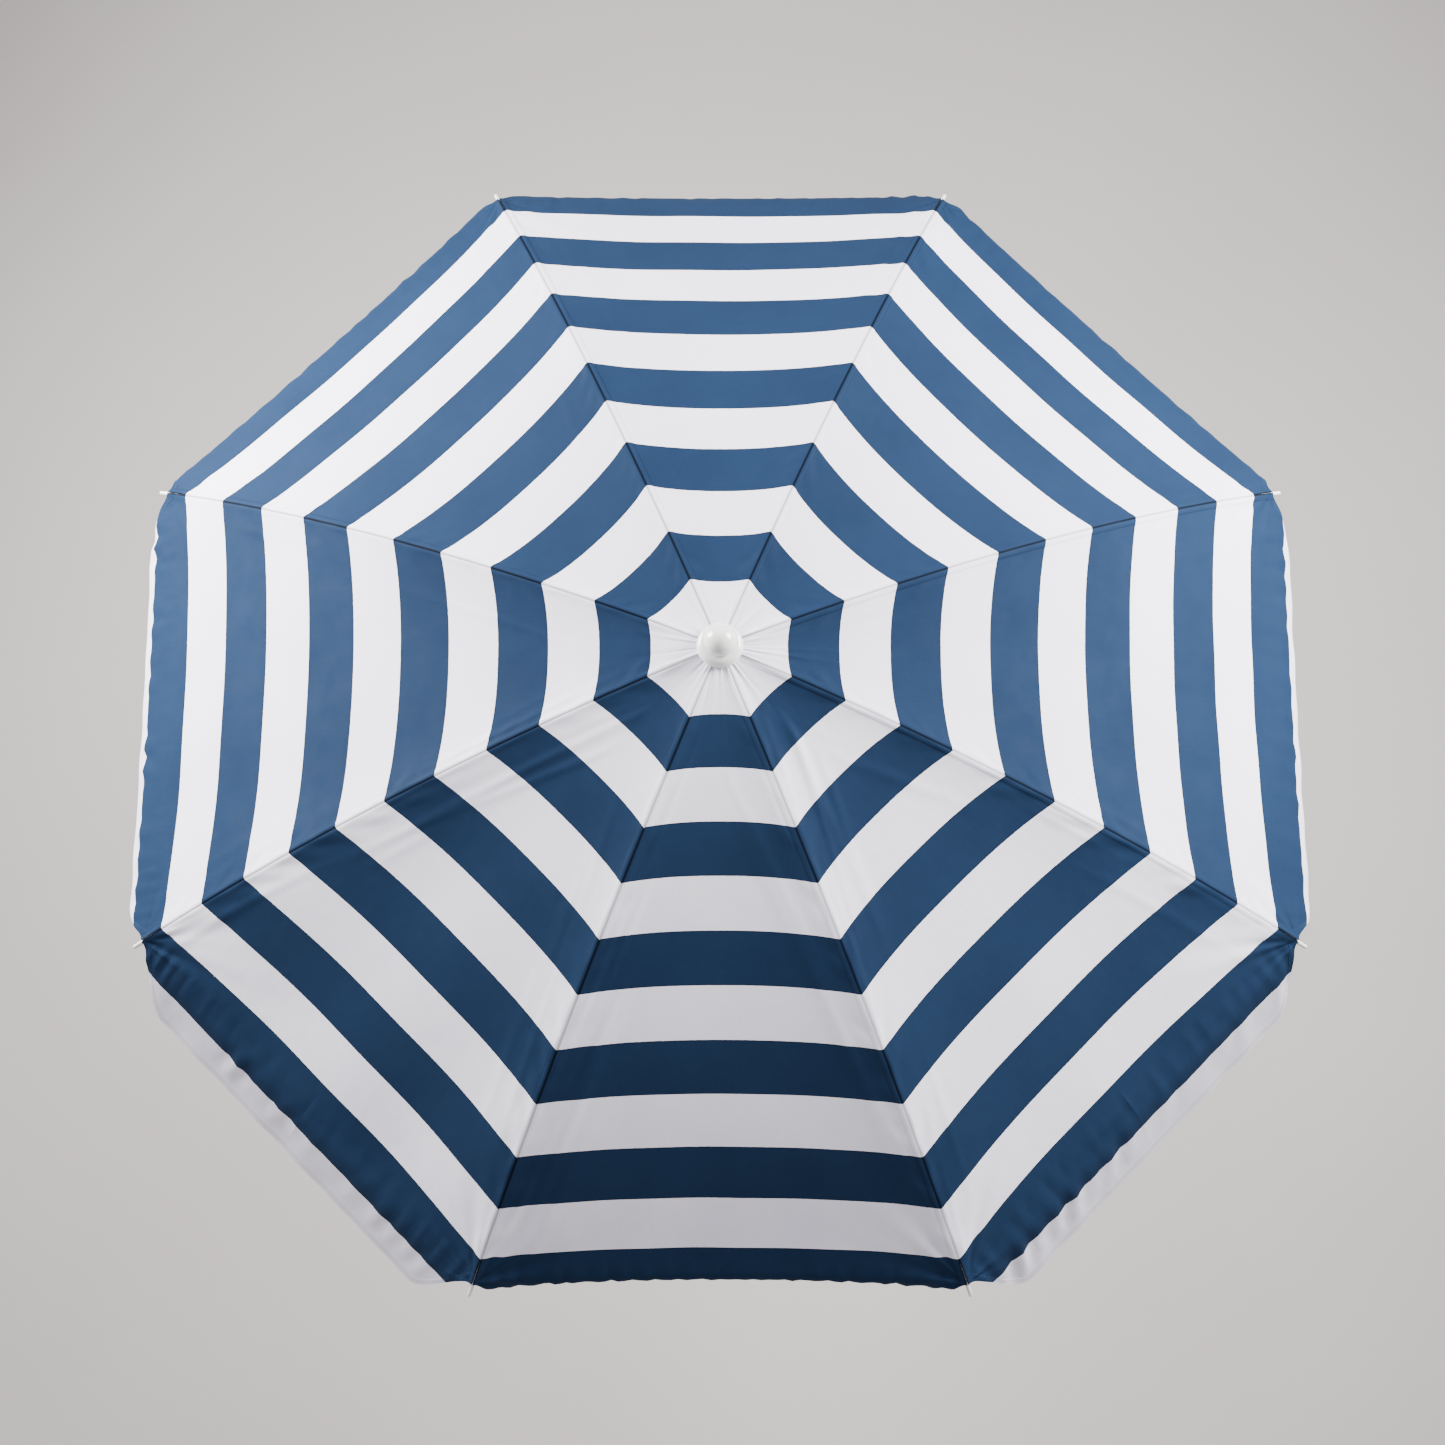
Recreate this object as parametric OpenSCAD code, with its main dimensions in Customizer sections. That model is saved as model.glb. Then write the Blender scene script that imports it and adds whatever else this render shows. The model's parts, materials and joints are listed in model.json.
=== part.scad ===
// Beach umbrella: an eight-rib striped canopy on a two-part pole with a
// sliding runner, a tilting joint, a height clamp and a sand spike.
// Millimetres, +Z up the pole, origin at the tip of the sand spike.

/* [Canopy] */
// Radius of the circle through the eight corners of the fabric
corner_radius = 780; // [760:1:800]
// Radius of the arc that a rib bends to when the canopy is open
bend_radius = 1480; // [1440:1:1520]
// Slope of the fabric at the crown, in degrees
crown_slope = 3; // [2:0.5:4]
// How far the middle of a gore is drawn in towards the pole
sag_in = 13.5; // [8:0.5:16]
// How far the middle of a gore hangs below the line between its ribs
sag_down = 10; // [6:0.5:12]
// Depth of the flap that hangs past the last seam
flap_depth = 98; // [70:1:105]
// Slope of that flap, in degrees
flap_slope = 75; // [55:1:80]
// Thickness of the fabric solids
cloth = 0.8; // [0.6:0.1:1]

/* [Frame] */
// Height of the rib hinges above the tip of the spike
crown_z = 1800; // [1790:1:1830]
// Diameter of a rib wire and of a stretcher rod
wire_d = 3.2; // [2.8:0.1:3.4]
// Distance from a rib's hinge to its stretcher clip, along the rib
clip_at = 290; // [285:1:295]
// Length of a stretcher between its two pivots
stretcher_l = 330; // [326:1:334]
// Length of the plastic stick at the end of each rib, past the fabric
tip_l = 18; // [14:1:22]

/* [Finial] */
// Diameter of the foot of the finial
finial_d = 56; // [52:1:60]
// Diameter of the ball on top of it
ball_d = 38.6; // [34:0.2:42]

/* [Pole] */
// Outer diameter of the lower pole
lower_d = 28; // [28:1:28]
// Outer diameter of the upper and the canopy pole
upper_d = 22; // [22:1:22]
// Wall of each tube
wall = 1; // [0.8:0.1:1.2]
// Height at which the lower pole ends
lower_top = 770; // [740:1:775]
// Height of the lower end of the upper pole
upper_bottom = 520; // [490:1:520]
// Height of the tilt pivot
pivot_z = 915; // [908:1:920]
// Length of the sand spike below the lower pole
spike_l = 70; // [60:1:90]

/* [Hidden] */
$fn = 48;
ribs = 8;
step = 360 / ribs;
half = step / 2;
wire_r = wire_d / 2;

// The rib line: an arc in the plane of a rib, measured from the pole's axis.
hinge_r = 20;
cloth_gap = 3;
rib_bend = bend_radius - cloth_gap;
arc_x = -bend_radius * sin(crown_slope);
hinge_t = asin((hinge_r - arc_x) / rib_bend);
arc_z = crown_z - rib_bend * cos(hinge_t);
corner_t = asin((corner_radius - arc_x) / bend_radius);
wire_end = 4;
wire_t = corner_t + wire_end / rib_bend * 180 / PI;
apex_z = arc_z + bend_radius * cos(crown_slope);

// Fabric of one gore: rows along the ribs, then rows down the flap.
crown_cloth_r = 30.5;
first_t = asin((crown_cloth_r + 0.5 - arc_x) / bend_radius);
gore_rows = 11;
flap_rows = 3;
gore_columns = 6;
corner_round = 55;
flap_corner = 4;
seam_gap = 1;
stick_gap = 4.2;

// Stretcher clip, runner and the two ends of the stretcher.
tab_l = 6;
clip_t = hinge_t + clip_at / rib_bend * 180 / PI;
clip_x = arc_x + (rib_bend - tab_l) * sin(clip_t);
clip_z = arc_z + (rib_bend - tab_l) * cos(clip_t);
ring_wire_r = 1;
runner_ring_r = 19;
runner_z = clip_z - sqrt(pow(stretcher_l, 2) - pow(clip_x - runner_ring_r, 2));
stretcher_tilt = atan2(clip_z - runner_z, clip_x - runner_ring_r);
eye_r = 2.2;
eye_w = 2.2;
eye_hole_r = 1.1;
notch_r = 1.3;
slot_w = 4;
slot_depth = 3.4;
tab_w = 2.4;
ear_r = 3.2;
rivet_r = 1.2;
rivet_hole_r = 1.25;

// Poles, crown and fits.
upper_r = upper_d / 2;
lower_r = lower_d / 2;
upper_in = upper_r - wall;
lower_in = lower_r - wall;
slide_gap = 0.1;
hub_h = 26;
hub_r = 23;
hub_top = crown_z + 2.2;
stud_r = 2.5;
canopy_pole_z = pivot_z + 17;
canopy_pole_top = crown_z - 6;
skirt_r = 13.5;
pin_r = 3;
pin_gap = 0.05;
tongue_w = 12;
ear_space = 0.4;
bracket_ear_w = 4;
knuckle_r = 11;
button_r = 5;
plate_h = 8;
plate_w = 29;
plate_z = runner_z - 40;

// ---- helpers ----

module tube(r, inner, h) {
    difference() {
        cylinder(r = r, h = h);
        translate([0, 0, -1]) cylinder(r = inner, h = h + 2);
    }
}

// A cylinder along Y, centred on its length.
module across(r, w) {
    rotate([90, 0, 0]) cylinder(r = r, h = w, center = true);
}

// A cylinder along X that starts at the origin.
module along(r, l) {
    rotate([0, 90, 0]) cylinder(r = r, h = l);
}

// A round ring of wire about the Z axis.
module wire_ring(ring_r, r) {
    rotate_extrude($fn = 96) translate([ring_r, 0]) circle(r = r, $fn = 24);
}

// A stretch of the rib's arc, between two slopes, with a round section.
module rib_arc(t_from, t_to, r) {
    translate([arc_x, 0, arc_z])
        rotate([90, 0, 0])
            rotate([0, 0, 90 - t_to])
                rotate_extrude(angle = t_to - t_from, $fn = 360)
                    translate([rib_bend, 0]) circle(r = r, $fn = 24);
}

// Moves its children from azimuth zero to the place of rib n.
module at_rib(n) {
    rotate([0, 0, (n - 0.5) * step]) children();
}

// A coil spring along Z: one closed tube swept along a helix, with flat-ish ends.
spring_sides = 6;
spring_steps = 14;
function spring_point(ring_r, pitch, a) =
    [ring_r * cos(a), ring_r * sin(a), pitch * a / 360];
module coil_spring(ring_r, r, h, turns) {
    n = turns * spring_steps;
    pitch = (h - 2 * r) / turns;
    points = [for (i = [0:n], j = [0:spring_sides - 1])
        let (a = i * 360 / spring_steps, b = j * 360 / spring_sides)
        spring_point(ring_r + r * cos(b), pitch, a) + [0, 0, r + r * sin(b)]];
    sides = [for (i = [0:n - 1], j = [0:spring_sides - 1])
        let (k = (j + 1) % spring_sides)
        [i * spring_sides + j, (i + 1) * spring_sides + j,
         (i + 1) * spring_sides + k, i * spring_sides + k]];
    first = [for (j = [0:spring_sides - 1]) j];
    last = [for (j = [spring_sides - 1:-1:0]) n * spring_sides + j];
    polyhedron(points = points, faces = concat([first], sides, [last]));
}

// ---- lower pole and height clamp ----

module ground_spike() {
    tip_r = 1.5;
    plug_l = 40;
    color("white")
    rotate_extrude() polygon([
        [0, 0], [tip_r, 0.6], [tip_r + 1, 3], [lower_r - 1, spike_l - 12],
        [lower_r, spike_l - 8], [lower_r, spike_l], [lower_in, spike_l],
        [lower_in, spike_l + plug_l], [0, spike_l + plug_l]]);
}

module lower_pole() {
    color("whitesmoke")
    translate([0, 0, spike_l]) tube(lower_r, lower_in, lower_top - spike_l);
}

collar_h = 34;
collar_r = 18;
screw_z = lower_top + 18;
screw_r = 3;
module pole_collar() {
    plug_l = 40;
    boss_r = 8;
    boss_x = 24;
    chamfer = 2;
    color("white")
    difference() {
        union() {
            translate([0, 0, lower_top - plug_l]) cylinder(r = lower_in, h = plug_l + 1);
            translate([0, 0, lower_top]) rotate_extrude() polygon([
                [0, 0], [collar_r, 0], [collar_r, collar_h - 2 * chamfer],
                [collar_r - chamfer, collar_h], [0, collar_h]]);
            translate([0, 0, screw_z]) along(boss_r, boss_x);
        }
        translate([0, 0, lower_top - plug_l - 1])
            cylinder(r = upper_r + slide_gap, h = plug_l + collar_h + 2);
        translate([0, 0, screw_z]) along(screw_r + pin_gap, boss_x + 1);
    }
}

module clamp_screw() {
    knob_r = 11.5;
    knob_w = 9;
    lobe_r = 3.6;
    lobes = 6;
    collar_l = 2;
    stem_end = 26;
    color("white")
    translate([0, 0, screw_z]) {
        translate([upper_r + 0.3, 0, 0]) along(screw_r, stem_end - upper_r);
        translate([stem_end, 0, 0]) along(7, collar_l + 0.5);
        translate([stem_end + collar_l, 0, 0]) rotate([0, 90, 0]) linear_extrude(knob_w) {
            circle(r = knob_r);
            for (i = [0:lobes - 1])
                rotate((i + 0.5) * 360 / lobes) translate([knob_r - 1.2, 0]) circle(r = lobe_r);
        }
    }
}

// ---- upper pole and tilt joint ----

module upper_pole() {
    top = pivot_z - 35;
    color("whitesmoke")
    translate([0, 0, upper_bottom]) tube(upper_r, upper_in, top - upper_bottom);
}

button_z = pivot_z - 26;
button_out = 3.5;
button_in = -7;
spring_end = 6;
module tilt_lower_bracket() {
    plug_l = 34;
    shoulder = 18;
    base = pivot_z - 35;
    ear_x = tongue_w / 2 + ear_space;
    color("white")
    difference() {
        union() {
            translate([0, 0, base - plug_l]) cylinder(r = upper_in, h = plug_l + 1);
            translate([0, 0, base]) cylinder(r = skirt_r, h = shoulder);
            for (side = [-1, 1])
                translate([side * (ear_x + bracket_ear_w / 2) - bracket_ear_w / 2, 0, pivot_z]) {
                    along(knuckle_r, bracket_ear_w);
                    translate([0, -8, -18]) cube([bracket_ear_w, 16, 18]);
                }
        }
        translate([-20, 0, pivot_z]) along(pin_r, 40);
        translate([0, spring_end, button_z])
            rotate([90, 0, 0]) cylinder(r = button_r + pin_gap, h = 30);
    }
}

module tilt_upper_bracket() {
    plug_l = 30;
    skirt_z = canopy_pole_z - 3;
    color("white")
    difference() {
        union() {
            translate([-tongue_w / 2, 0, pivot_z]) along(knuckle_r - 1, tongue_w);
            translate([-tongue_w / 2, -8, pivot_z])
                cube([tongue_w, 16, skirt_z - pivot_z + 1]);
            translate([0, 0, skirt_z]) cylinder(r = skirt_r, h = 3);
            translate([0, 0, canopy_pole_z]) cylinder(r = upper_in, h = plug_l);
        }
        translate([-20, 0, pivot_z]) along(pin_r + pin_gap, 40);
    }
}

module tilt_pin() {
    head_r = 5;
    head_w = 1.6;
    reach = tongue_w / 2 + ear_space + bracket_ear_w;
    color("silver")
    translate([0, 0, pivot_z]) {
        translate([-reach, 0, 0]) along(pin_r, 2 * reach);
        translate([-reach - head_w, 0, 0]) along(head_r, head_w);
        translate([reach, 0, 0]) along(head_r, head_w);
    }
}

module tilt_button() {
    color("white")
    translate([0, button_in, button_z]) rotate([90, 0, 0]) {
        cylinder(r = button_r, h = skirt_r + button_out + button_in - 1);
        cylinder(r = button_r - 1, h = skirt_r + button_out + button_in);
    }
}

module tilt_spring() {
    color("silver")
    translate([0, spring_end, button_z])
        rotate([90, 0, 0]) coil_spring(3.4, 0.4, spring_end - button_in, 5);
}

// ---- canopy pole, runner and its release ----

module canopy_pole() {
    color("whitesmoke")
    translate([0, 0, canopy_pole_z])
        tube(upper_r, upper_in, canopy_pole_top - canopy_pole_z);
}

// Eight notches and a groove that hold a ring of wire in a flange.
module ring_seat(z, ring_r, low, high) {
    translate([0, 0, z]) wire_ring(ring_r, ring_wire_r + 0.05);
    for (n = [1:ribs])
        at_rib(n) translate([ring_r - slot_depth, -slot_w / 2, low]) cube([20, slot_w, high - low]);
}

module release_slot(gap, far, near) {
    translate([-far, -plate_w / 2 - gap, plate_z - gap])
        cube([far + near, plate_w + 2 * gap, plate_h + 2 * gap]);
}

release_far = 15.5;
release_near = 24;
release_travel = 4;
release_pocket = 26;
release_spring_r = 3.2;
sleeve_r = 14.5;
module runner() {
    flange_r = 22.5;
    flange_h = 10;
    flange_low = runner_z - flange_h / 2;
    block_r = 20;
    block_edge = 10;
    boss_w = 11;
    boss_h = 12;
    sleeve_below = 22;
    low = plate_z - block_edge;
    foot = low - sleeve_below;
    top = runner_z + 18;
    mid = plate_z + plate_h / 2;
    color("white")
    difference() {
        union() {
            translate([0, 0, low]) cylinder(r = block_r, h = plate_h + 2 * block_edge);
            translate([0, 0, foot]) cylinder(r = sleeve_r, h = top - foot);
            translate([0, 0, flange_low]) cylinder(r = flange_r, h = flange_h);
            translate([-release_pocket - 2, -boss_w / 2, mid - boss_h / 2])
                cube([release_pocket, boss_w, boss_h]);
        }
        translate([0, 0, foot - 1]) cylinder(r = upper_r + slide_gap, h = top - foot + 2);
        ring_seat(runner_z, runner_ring_r, flange_low - 1, flange_low + flange_h + 1);
        release_slot(0.2, release_far + release_travel + 0.3, release_near);
        translate([-release_pocket, 0, mid]) along(release_spring_r + 0.8, 10);
    }
}

// A plate round the pole; its narrow nose stands out between two stretchers.
module release_button() {
    play = 0.15;
    hole_r = upper_r + play;
    shift = release_travel + 0.3;
    nose_w = 14;
    color("white")
    difference() {
        union() {
            release_slot(0, release_far, release_far);
            translate([0, -nose_w / 2, plate_z]) cube([release_near, nose_w, plate_h]);
        }
        for (x = [0, shift])
            translate([x, 0, plate_z - 1]) cylinder(r = hole_r, h = plate_h + 2);
        translate([0, -hole_r, plate_z - 1]) cube([shift, 2 * hole_r, plate_h + 2]);
    }
}

module release_spring() {
    color("silver")
    translate([-release_pocket, 0, plate_z + plate_h / 2])
        rotate([0, 90, 0])
            coil_spring(release_spring_r, 0.4, release_pocket - release_far, 5);
}

module runner_ring() {
    color("silver") translate([0, 0, runner_z]) wire_ring(runner_ring_r, ring_wire_r);
}

// ---- crown and finial ----

module crown_hub() {
    plate = 6;
    color("white")
    difference() {
        union() {
            translate([0, 0, hub_top - hub_h]) cylinder(r = sleeve_r, h = hub_h);
            translate([0, 0, crown_z - plate]) cylinder(r = hub_r, h = hub_top - crown_z + plate);
        }
        translate([0, 0, hub_top - hub_h - 1])
            cylinder(r = upper_r, h = canopy_pole_top - hub_top + hub_h + 1);
        translate([0, 0, crown_z - 10]) cylinder(r = stud_r, h = 20);
        ring_seat(crown_z, hinge_r, crown_z - plate - 1, hub_top + 1);
    }
}

module crown_ring() {
    color("silver") translate([0, 0, crown_z]) wire_ring(hinge_r, ring_wire_r);
}

module canopy_crown() {
    drop = (crown_cloth_r - stud_r) * tan(crown_slope + 0.6);
    color("white")
    translate([0, 0, apex_z]) rotate_extrude($fn = 96) polygon([
        [stud_r + 0.1, 0], [crown_cloth_r, -drop],
        [crown_cloth_r, cloth - drop], [stud_r + 0.1, cloth]]);
}

finial_z = apex_z + cloth + 0.1;
ball_z = finial_z + 20;
module finial_cap() {
    ball_r = ball_d / 2;
    foot_r = finial_d / 2;
    roll_r = 9;
    color("white")
    difference() {
        translate([0, 0, finial_z]) rotate_extrude($fn = 96) intersection() {
            square([foot_r + 1, 60]);
            union() {
                translate([0, ball_z - finial_z]) circle(r = ball_r, $fn = 96);
                translate([foot_r - roll_r, 1.5]) circle(r = roll_r, $fn = 72);
                square([foot_r - roll_r, 1.5 + roll_r]);
                translate([foot_r - 1.2, 1.2]) circle(r = 1.2, $fn = 24);
            }
        }
        translate([0, 0, finial_z - 1]) cylinder(r = stud_r, h = 21);
    }
}

module finial_stud() {
    color("silver")
    translate([0, 0, crown_z - 14]) cylinder(r = stud_r, h = finial_z + 20 - crown_z + 14);
}

// ---- ribs and stretchers ----

module rib_wire() {
    start = 1.6 / rib_bend * 180 / PI;
    rib_arc(hinge_t + start, wire_t, wire_r);
}

module rib(n) {
    clip_half = 6 / rib_bend * 180 / PI;
    clip_r = 2.4;
    at_rib(n) {
        color("whitesmoke")
        difference() {
            union() {
                rib_wire();
                translate([hinge_r, 0, crown_z]) across(eye_r, eye_w);
            }
            translate([hinge_r, 0, crown_z]) across(eye_hole_r, 10);
        }
        color("silver")
        difference() {
            union() {
                rib_arc(clip_t - clip_half, clip_t + clip_half, clip_r);
                translate([clip_x, 0, clip_z]) {
                    across(ear_r, tab_w);
                    rotate([0, clip_t, 0]) translate([-ear_r, -tab_w / 2, 0])
                        cube([2 * ear_r, tab_w, tab_l]);
                }
            }
            rib_arc(clip_t - 2 * clip_half, clip_t + 2 * clip_half, wire_r);
            translate([clip_x, 0, clip_z]) across(rivet_hole_r, 10);
        }
    }
}

// The stick: a slim sleeve under the fabric, then a thicker rounded end.
module rib_tip(n) {
    sleeve_l = 22;
    sleeve_r = 2.5;
    end_r = 3.3;
    color("white")
    at_rib(n)
    difference() {
        translate([arc_x + rib_bend * sin(corner_t), 0, arc_z + rib_bend * cos(corner_t)])
            rotate([0, corner_t, 0]) {
                translate([-sleeve_l, 0, 0]) along(sleeve_r, sleeve_l + 3);
                translate([2.5, 0, 0]) along(end_r, tip_l - 2.5);
                translate([tip_l, 0, 0]) sphere(r = end_r);
            }
        rib_wire();
    }
}

// A rod with a riveted fork at the rib and a snap-on eye at the runner.
module stretcher(n) {
    fork_l = 12;
    fork_h = 4.4;
    web_l = 4;
    ear_w = 1.2;
    ear_gap = 0.1;
    ear_y = tab_w / 2 + ear_gap;
    snap_r = 2.6;
    head_r = 2.3;
    head_w = 0.8;
    at_rib(n)
    translate([clip_x, 0, clip_z])
        rotate([0, 180 - stretcher_tilt, 0]) {
            color("whitesmoke")
            difference() {
                union() {
                    for (side = [-1, 1]) {
                        y = side * (ear_y + ear_w / 2);
                        translate([0, y, 0]) across(ear_r, ear_w);
                        translate([0, y - ear_w / 2, -fork_h / 2]) cube([fork_l, ear_w, fork_h]);
                    }
                    translate([fork_l - web_l, -ear_y - ear_w, -fork_h / 2])
                        cube([web_l, 2 * (ear_y + ear_w), fork_h]);
                    translate([fork_l - 2, 0, 0]) along(wire_r, stretcher_l - fork_l);
                    translate([stretcher_l, 0, 0]) across(snap_r, eye_w);
                }
                across(rivet_r, 20);
                translate([stretcher_l, 0, 0]) across(notch_r, 10);
                translate([stretcher_l, -5, -5]) cube([10, 10, 10]);
            }
            color("silver") {
                across(rivet_r, 2 * (ear_y + ear_w));
                for (side = [-1, 1])
                    translate([0, side * (ear_y + ear_w + head_w / 2), 0])
                        across(head_r, head_w);
            }
        }
}

// ---- canopy fabric ----

// Height of the fabric above its corners follows the rib's arc; the middle of
// a gore is drawn in and down, most of all two thirds of the way out.
function fabric_r(t) = arc_x + bend_radius * sin(t);
function fabric_z(t) = arc_z + bend_radius * cos(t);
function share(t) = (t - crown_slope) / (corner_t - crown_slope);
function drawn_in(t) = sag_in * sin(90 * min(1, share(t) / 0.6));
function hung(t) = sag_down * sin(180 * share(t));
function bow(w) = 1 - pow(1 - w, 2);

// Point of the fabric at slope t, w of the way from the rib to the middle.
function fabric_point(t, w) =
    let (r = fabric_r(t), out = r * cos(half) * w - drawn_in(t) * bow(w))
    [r * (1 - w) + out * cos(half), out * sin(half), fabric_z(t) - hung(t) * bow(w)];

function flap_length(w) =
    let (y = corner_radius * sin(half) * w, k = 1 - min(1, y / corner_round))
    flap_corner + (flap_depth - flap_corner) * sqrt(1 - k * k);

function flap_point(d, w) =
    fabric_point(corner_t, w) + d * flap_length(w)
    * [cos(flap_slope) * cos(half), cos(flap_slope) * sin(half), -sin(flap_slope)];

function outward(t, w) =
    [sin(t) * cos(half * w), sin(t) * sin(half * w), cos(t)];

function column(j) = pow(j / gore_columns, 1.4);

// One half of a gore, from its rib to the gore's middle, as a closed thin solid.
// Its corner and its flap keep clear of the stick on the rib's end.
module half_gore(side) {
    across_n = gore_columns + 1;
    clear_w = (stick_gap - seam_gap) / (corner_radius * sin(half));
    rows = gore_rows + flap_rows;
    sheet = [for (layer = [0, 1], i = [0:rows], j = [0:gore_columns])
        let (flap = i > gore_rows,
             w = i < gore_rows ? column(j) : clear_w + (1 - clear_w) * column(j),
             t = first_t + (corner_t - first_t) * min(1, i / gore_rows),
             p = flap ? flap_point((i - gore_rows) / flap_rows, w) : fabric_point(t, w),
             n = outward(flap ? flap_slope : t, w))
        p + layer * cloth * n];
    count = across_n * (rows + 1);
    skin = [for (i = [0:rows - 1], j = [0:gore_columns - 1])
        let (a = i * across_n + j) [a, a + 1, a + across_n + 1, a + across_n]];
    under = [for (q = skin) [q[0], q[1], q[2]]];
    under_b = [for (q = skin) [q[0], q[2], q[3]]];
    over = [for (q = skin) [q[0] + count, q[2] + count, q[1] + count]];
    over_b = [for (q = skin) [q[0] + count, q[3] + count, q[2] + count]];
    rim = concat(
        [for (j = [0:gore_columns - 1]) [j + 1, j]],
        [for (i = [0:rows - 1]) [i * across_n, (i + 1) * across_n]],
        [for (j = [0:gore_columns - 1]) [rows * across_n + j, rows * across_n + j + 1]],
        [for (i = [0:rows - 1]) [(i + 1) * across_n + gore_columns, i * across_n + gore_columns]]);
    edge = [for (e = rim) [e[0], e[1], e[1] + count]];
    edge_b = [for (e = rim) [e[0], e[1] + count, e[0] + count]];
    mirror([0, side < 0 ? 1 : 0, 0])
        translate([seam_gap * cos(half / 2), seam_gap * sin(half / 2), 0])
            polyhedron(points = sheet, faces = concat(under, under_b, over, over_b, edge, edge_b));
}

// Seen from outside, the left half hangs on the rib before the gore.
module gore_left(n) {
    color(n % 2 == 0 ? "midnightblue" : "steelblue") at_rib(n - 1) half_gore(1);
}

module gore_right(n) {
    color(n % 2 == 0 ? "midnightblue" : "steelblue") at_rib(n) half_gore(-1);
}

ground_spike();
lower_pole();
pole_collar();
clamp_screw();
upper_pole();
tilt_lower_bracket();
tilt_upper_bracket();
tilt_pin();
tilt_button();
tilt_spring();
canopy_pole();
runner();
runner_ring();
release_button();
release_spring();
crown_hub();
crown_ring();
canopy_crown();
finial_cap();
finial_stud();
for (n = [1:ribs]) {
    rib(n);
    rib_tip(n);
    stretcher(n);
    gore_left(n);
    gore_right(n);
}
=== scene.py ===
"""A beach umbrella: striped fabric, finial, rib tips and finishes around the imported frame."""
import json
import math

import bpy
import numpy as np
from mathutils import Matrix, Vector


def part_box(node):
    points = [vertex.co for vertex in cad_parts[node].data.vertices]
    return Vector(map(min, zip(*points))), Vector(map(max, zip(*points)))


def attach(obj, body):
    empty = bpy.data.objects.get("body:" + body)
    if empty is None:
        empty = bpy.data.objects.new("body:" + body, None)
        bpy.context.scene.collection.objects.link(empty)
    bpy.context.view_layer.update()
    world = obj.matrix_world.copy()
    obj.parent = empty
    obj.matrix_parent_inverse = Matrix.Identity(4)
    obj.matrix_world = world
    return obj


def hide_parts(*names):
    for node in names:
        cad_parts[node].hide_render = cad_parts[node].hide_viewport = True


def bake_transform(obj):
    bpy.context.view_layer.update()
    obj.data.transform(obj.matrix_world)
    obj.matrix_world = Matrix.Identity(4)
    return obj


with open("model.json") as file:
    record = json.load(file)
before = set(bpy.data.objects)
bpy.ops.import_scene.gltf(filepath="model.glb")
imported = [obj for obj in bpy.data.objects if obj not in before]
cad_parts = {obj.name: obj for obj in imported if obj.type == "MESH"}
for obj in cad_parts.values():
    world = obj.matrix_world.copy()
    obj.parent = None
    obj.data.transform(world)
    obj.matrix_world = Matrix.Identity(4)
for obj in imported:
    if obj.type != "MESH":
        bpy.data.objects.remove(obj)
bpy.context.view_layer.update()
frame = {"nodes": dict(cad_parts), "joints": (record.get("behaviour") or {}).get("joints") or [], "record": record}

MM = 0.001
GORES = 8
STEP = math.radians(360 / GORES)
HALF = STEP / 2

# The cloth over a rib: an arc in the rib's plane, a gap outside the rib's own arc.
CORNER_R = 780 * MM
BEND_R = 1480 * MM
CROWN_SLOPE = math.radians(3)
CLOTH_GAP = 3 * MM
CLOTH = 0.45 * MM
# How far the middle of a gore sags in and down.
SAG_IN = 13.5 * MM
SAG_DOWN = 10 * MM
# The flap: its depth at the middle and at the rib, and the width of its rounded corner.
FLAP_DEPTH = 98 * MM
FLAP_CORNER = 2 * MM
CORNER_ROUND = 70 * MM

hinge = [j for j in frame["joints"] if j["name"] == "rib_1_fold"][0]["pos_m"]
HINGE_R = math.hypot(hinge[0], hinge[1])
CROWN_Z = hinge[2]
RIB_BEND = BEND_R - CLOTH_GAP
ARC_X = -BEND_R * math.sin(CROWN_SLOPE)
ARC_Z = CROWN_Z - RIB_BEND * math.cos(math.asin((HINGE_R - ARC_X) / RIB_BEND))
CORNER_T = math.asin((CORNER_R - ARC_X) / BEND_R)
EDGE_S = BEND_R * (CORNER_T - CROWN_SLOPE)
FIRST_S = HINGE_R
FINIAL_R = 28 * MM
APEX_Z = ARC_Z + BEND_R * math.cos(CROWN_SLOPE)

# Bands, by distance from the apex along a rib.
FIRST_BAND = 92 * MM
BAND = 70.9 * MM
BANDS = 11
LAST_BAND = FIRST_BAND + BANDS * BAND
# How long the middle line of a gore is, as a share of the line over a rib.
MIDDLE_SHARE = 0.934

# Sewing: rows of stitches and fold above the flap's lower edge, one stitch, and the felled seam.
HEM_ROWS = (6.5 * MM, 11.5 * MM)
HEM_FOLD = 13 * MM
STITCH = 3.4 * MM
STITCH_SHARE = 0.72
FELL = 9 * MM
FELL_ROW = 8.5 * MM
WEAVE_PITCH = 0.55 * MM
# Where the middle of a gore lies in u, and a distance that means no seam is near.
MIDDLE_U = 0.4
FAR = 0.5

# How each gore's flap hangs, gore 1 at +X and on round to gore 8: its slope below the horizon in
# degrees, how far the middle of the gore runs on before the cloth turns down, and over what
# length it turns, both in millimetres.
FLAP_SLOPES = [73, 75, 80, 80, 73, 62, 108, 62]
RUN_ON = [15, 12, 8, 10, 15, 14, 0, 15]
TURN_OVER = [34, 34, 34, 34, 34, 34, 22, 34]
# How far each gore's bands are moved towards the crown, in millimetres, and how creased it is.
BAND_SHIFTS = [0.0, -1.0, -2.0, -2.0, -1.5, -1.5, -0.5, -1.0]
CREASING = [0.6, 0.5, 0.7, 0.6, 0.7, 1.1, 1.3, 1.2]
# How much of the full sag each gore has: some are drawn tighter than others.
SAG_SHARES = [1.0, 0.85, 0.65, 0.85, 1.0, 0.85, 1.0, 1.0]

WRINKLE_SEED = 400
GATHER_SEED = 77


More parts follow.
